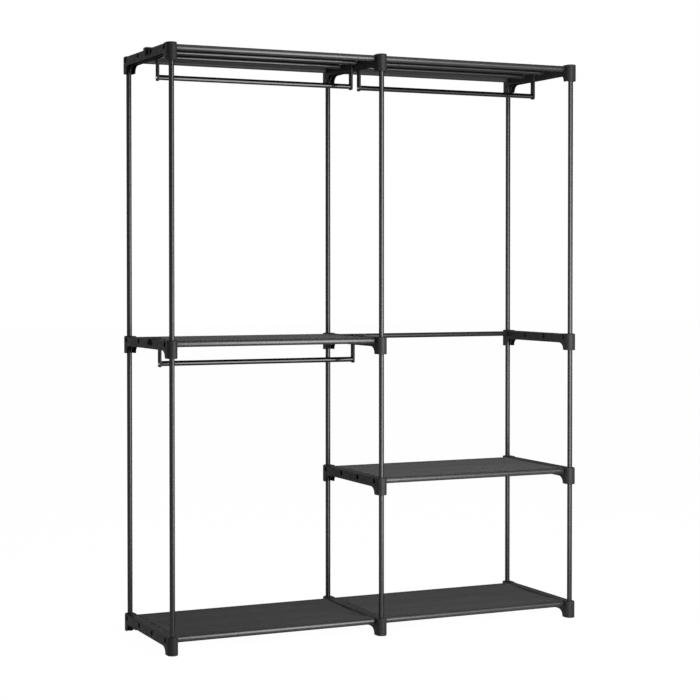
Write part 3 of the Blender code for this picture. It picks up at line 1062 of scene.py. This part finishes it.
@dataclass
class Hook:
    """Moulded hook: a strap over the side rail with a channelled arm down to the rod."""

    node: str
    rail: str
    rod: str
    end: RodEnd
    thickness: float = 5.5 * MM
    half_width: float = 10.0 * MM
    lip: float = 17.0 * MM
    rail_recess: float = 2.0 * MM
    flange: float = 3.5 * MM
    channel: float = 1.8 * MM
    foot_radius: float = 6.0 * MM
    foot_steps: int = 8
    notch: float = 2.2 * MM
    notch_sides: int = 20
    crown_radius: float = 2.6 * MM
    inner_radius: float = 0.3 * MM
    lip_radius: float = 1.2 * MM
    spigot: float = 10.0 * MM
    spigot_sides: int = 32
    rod_inner: float = 7.2 * MM
    edge: float = 0.5 * MM
    edge_segments: int = 2
    flat_angle: float = 1.0
    edge_angle: float = 50.0

    def __post_init__(self) -> None:
        """Take the hook's sizes from its node, its rail and its rod."""
        self.box, rail, rod = NodeBox(self.node), NodeBox(self.rail), NodeBox(self.rod)
        self.place = Vector((rail.middle.x, self.box.middle.y, rail.low.z))
        self.inner = rail.size.x / 2 + CLEARANCE
        self.outer = self.inner + self.thickness
        self.rail_top = rail.size.z - self.rail_recess
        self.foot = self.box.low.z - rail.low.z
        self.rod_z = rod.middle.z - rail.low.z

    def outline(self) -> list[Point]:
        """Side view of the strap, the lip and the arm.

        Returns:
            The corners in order, across and up from the rail's underside.
        """
        inner, outer, low = self.inner, self.outer, self.rail_top - self.lip
        seat = self.rail_top + CLEARANCE
        crown = seat + self.thickness
        return fillet(
            [
                ((-outer, low), self.lip_radius), ((-inner, low), self.lip_radius),
                ((-inner, seat), self.inner_radius), ((inner, seat), self.inner_radius),
                ((inner, self.foot), 0.0), ((outer, self.foot), 0.0),
                ((outer, crown), self.crown_radius), ((-outer, crown), self.crown_radius),
            ]
        )

    def foot_corner(self) -> list[Point]:
        """What is cut away to round one corner of the arm's foot, seen from the side.

        Returns:
            The cutter's outline, along the rail and up.
        """
        radius, beyond, low = self.foot_radius, self.half_width + OVERRUN, self.foot - OVERRUN
        middle = self.half_width - radius
        turns = arc(self.foot_steps)
        points = [(middle + radius * s, self.foot + radius * (1 - c)) for c, s in turns]
        return [(beyond, low), (middle, low), *points, (beyond, self.foot + radius)]

    def mesh(self) -> Mesh:
        """The hook about the rail's axis, with softly broken edges.

        Returns:
            The finished mesh.
        """
        strap = prism("hook", self.outline(), -self.half_width, self.half_width, Axis.Y)
        near, far = self.inner - OVERRUN, self.outer + OVERRUN
        inside = self.half_width - self.flange
        plan = rectangle(near, self.inner + self.channel, -inside, inside)
        notches = [circle(self.notch, self.notch_sides, (0.0, self.foot))]
        notches += [[(side * y, z) for y, z in self.foot_corner()] for side in (-1, 1)]
        cutters = [prism("channel", plan, self.foot - OVERRUN, 0.0, Axis.Z)]
        cutters += [prism("notch", notch, near, far, Axis.X) for notch in notches]
        body = self.broken(carve(strap, each(CUT, *cutters)))
        start, fit = self.outer - self.thickness / 2, self.rod_inner - CLEARANCE
        ends = [(start, fit), (self.outer + self.spigot, fit)]
        spigot = turned(bmesh.new(), ends, self.spigot_sides, Axis.X, (0.0, self.rod_z))
        whole = carve(body, each(JOIN, spigot=spigot))
        return for_end(whole, self.end, whole.name)

    def broken(self, mesh: Mesh) -> Mesh:
        """The mesh with its sharp edges broken.

        Args:
            mesh: the mesh as cut.

        Returns:
            The same mesh, after the change.
        """
        bm = bmesh.new()
        bm.from_mesh(mesh)
        bmesh.ops.dissolve_limit(
            bm, angle_limit=math.radians(self.flat_angle), verts=bm.verts, edges=bm.edges
        )
        least = math.radians(self.edge_angle)
        sharp = [e for e in bm.edges if e.is_manifold and e.calc_face_angle() > least]
        bmesh.ops.bevel(
            bm, geom=sharp, offset=self.edge, segments=self.edge_segments, affect="EDGES",
            profile=0.5, clamp_overlap=True,
        )
        return finished(bm, mesh.name)

    def build(self) -> None:
        """Place the hook and its screw."""
        name, body = self.node.replace("rod_hook_", "rail_hook_"), self.box.body
        Piece(name, self.mesh(), PLASTIC, body, self.place, self.node, even=True).build()
        seat = Vector((self.end.value * (self.inner + self.channel), 0.0, self.rod_z))
        Piece(name + "_screw", Screw(self.end).mesh(), ZINC, body, self.place + seat).build()


@dataclass
class Screw:
    """Pan-head screw with a cross recess, standing out towards the rail's axis."""

    end: RodEnd
    radius: float = 4.2 * MM
    height: float = 3.6 * MM
    rim_share: float = 0.35
    dome_share: float = 0.65
    dome_reach: float = 0.85
    dome_steps: int = 5
    recess_width: float = 1.1 * MM
    recess_reach: float = 2.4 * MM
    recess_depth: float = 1.8 * MM
    overrun: float = 1.0 * MM
    sides: int = 28

    def mesh(self) -> Mesh:
        """The head about its own seat.

        Returns:
            The finished mesh.
        """
        profile = [(0.0, self.radius), (-self.height * self.rim_share, self.radius)]
        turns = arc(self.dome_steps, QUARTER * self.dome_reach)
        for c, s in turns[1:]:
            along = self.rim_share + self.dome_share * s / turns[-1][1]
            wide = self.rim_share + self.dome_share * c
            profile.append((-self.height * along, self.radius * wide))
        dome = turned(bmesh.new(), profile, self.sides, Axis.X)
        wide, reach = self.recess_width / 2, self.recess_reach
        top, bottom = -self.height - self.overrun, -self.height + self.recess_depth
        slots = (rectangle(-a, a, -b, b) for a, b in ((wide, reach), (reach, wide)))
        cutters = [prism("recess", slot, top, bottom, Axis.X) for slot in slots]
        head = carve(finished(dome, "screw_head"), each(CUT, *cutters))
        return for_end(head, self.end, "screw_head")


@dataclass
class Hangers:
    """The three hanging rods with their hooks and screws."""

    tubes: TubeWork
    names: tuple[str, ...] = ("top_left", "top_right", "middle_left")

    def build(self) -> None:
        """Make each rod, then the hook at each of its ends."""
        for name in self.names:
            level, bay = name.split("_")
            rod = f"hanging_rod_{name}"
            self.tubes.add(rod, Axis.X, GLOSS)
            columns = ("left", "centre") if bay == "left" else ("centre", "right")
            for column, end in zip(columns, RodEnd):
                hook = f"rod_hook_{name}_{end.name.lower()}"
                Hook(hook, f"rail_{column}_{level}", rod, end).build()


@dataclass
class Lamp:
    """A soft rectangular lamp."""

    name: str
    location: Place
    aim: Place
    width: float
    height: float
    power: float

    def build(self) -> None:
        """Hang the lamp and turn it to its aim."""
        data = bpy.data.lights.new(self.name, "AREA")
        data.shape = "RECTANGLE"
        data.size, data.size_y = self.width, self.height
        data.energy = self.power
        lamp = placed(self.name, data)
        lamp.location = self.location
        way = Vector(self.aim) - Vector(self.location)
        lamp.rotation_euler = way.to_track_quat("-Z", "Y").to_euler()
        lamp.visible_camera = False


LAMPS = (
    Lamp("strip_lamp", (0.27, -1.45, 1.0), (0.2, 0.0, 1.0), width=0.8, height=1.95, power=76.0),
    Lamp("side_lamp", (1.7, -2.1, 0.95), (0.3, 0.0, 0.9), width=1.6, height=0.7, power=27.0),
    Lamp("top_lamp", (0.2, 0.4, 4.2), (0.0, 0.0, 0.9), width=3.0, height=2.4, power=70.0),
)


@dataclass
class Studio:
    """Pale floor, white surroundings, lamps and the photograph's camera."""

    camera_place: Place = (-2.383, -5.101, 1.1296)
    yaw: float = math.radians(24.916)
    pitch: float = math.radians(1.103)
    lens: float = 90.587
    sensor: float = 36.0
    shift: float = -0.064
    clip: Point = (0.05, 200.0)
    floor_half: float = 30.0
    floor_colour: Colour = (0.9, 0.9, 0.9)
    floor_roughness: float = 0.9
    floor_white: float = 0.985
    ambient: float = 0.4
    room: float = 0.2
    behind_span: Point = (-0.3, 0.5)
    height_span: Point = (0.3, 0.7)

    def build(self) -> None:
        """Set up everything round the rack."""
        self.camera()
        self.floor()
        self.world()
        for lamp in LAMPS:
            lamp.build()
        bpy.context.scene.view_settings.view_transform = "Standard"

    def camera(self) -> None:
        """The photograph's viewpoint."""
        data = bpy.data.cameras.new("photo_camera")
        data.lens, data.sensor_width, data.shift_y = self.lens, self.sensor, self.shift
        data.clip_start, data.clip_end = self.clip
        camera = placed("photo_camera", data)
        camera.location = self.camera_place
        camera.rotation_euler = (QUARTER - self.pitch, 0.0, -self.yaw)
        bpy.context.scene.camera = camera

    def seen(self, graph: Graph, gloss: Socket | None = None) -> Socket:
        """1 for rays from the camera and for those that gloss and glass send on.

        Args:
            graph: where the nodes go.
            gloss: what stands for the rays that gloss sends on, if not all of them count.

        Returns:
            The share of white that a ray sees.
        """
        path = graph.add("LightPath").outputs
        found = path["Is Camera Ray"]
        for other in (gloss or path["Is Glossy Ray"], path["Is Transmission Ray"]):
            found = graph.combine("MAXIMUM", found, other)
        return found

    def floor(self) -> None:
        """A plain pale floor that reads as white and keeps a faint shadow."""
        bm = bmesh.new()
        bmesh.ops.create_grid(bm, x_segments=1, y_segments=1, size=self.floor_half)
        mesh = finished(bm, "floor", None)
        material, graph, shader = new_material("pale_floor")
        graph.fill(
            shader, Base_Color=(*self.floor_colour, 1.0), Roughness=self.floor_roughness,
            Specular_IOR_Level=0.0,
        )
        glow = graph.result("Emission", Color=WHITE, Strength=1.0)
        share = graph.combine("MULTIPLY", self.seen(graph), self.floor_white)
        mix = graph.result("MixShader", share, shader.outputs["BSDF"], glow)
        graph.fill(material.node_tree.nodes["Material Output"], Surface=mix)
        mesh.materials.append(material)
        obj = placed("floor", mesh)
        obj.location.z = -CLEARANCE

    def world(self) -> None:
        """White behind the rack and in its reflections, and a soft even light on it.

        A gloss sees the white backdrop behind the rack and a dim room above and before it.
        """
        world = bpy.data.worlds.new("studio")
        bpy.context.scene.world = world
        world.use_nodes = True
        graph = Graph(world.node_tree)
        world.node_tree.nodes.clear()
        way = graph.add("SeparateXYZ", graph.add("TexCoord").outputs["Generated"]).outputs
        behind = graph.remap(way["Y"], self.behind_span, (self.room, 1.0), eased=True)
        low = graph.remap(way["Z"], self.height_span, (1.0, self.room), eased=True)
        glossy = graph.add("LightPath").outputs["Is Glossy Ray"]
        gloss = graph.combine("MULTIPLY", glossy, graph.combine("MINIMUM", behind, low))
        soft = graph.result("Background", Color=WHITE, Strength=self.ambient)
        white = graph.result("Background", Color=WHITE, Strength=1.0)
        mix = graph.result("MixShader", self.seen(graph, gloss), soft, white)
        graph.add("OutputWorld", Surface=mix)


def main() -> None:
    """Dress the rack, piece by piece, in its studio."""
    logging.basicConfig(level=logging.INFO, format="%(message)s")
    for obj in list(bpy.data.objects):
        if obj.name in ("Cube", "Light", "Camera"):
            bpy.data.objects.remove(obj, do_unlink=True)
    RailWork().build()
    tubes = TubeWork()
    tubes.build()
    ClothWork().build()
    Hangers(tubes).build()
    Studio().build()


if __name__ == "__main__":
    main()
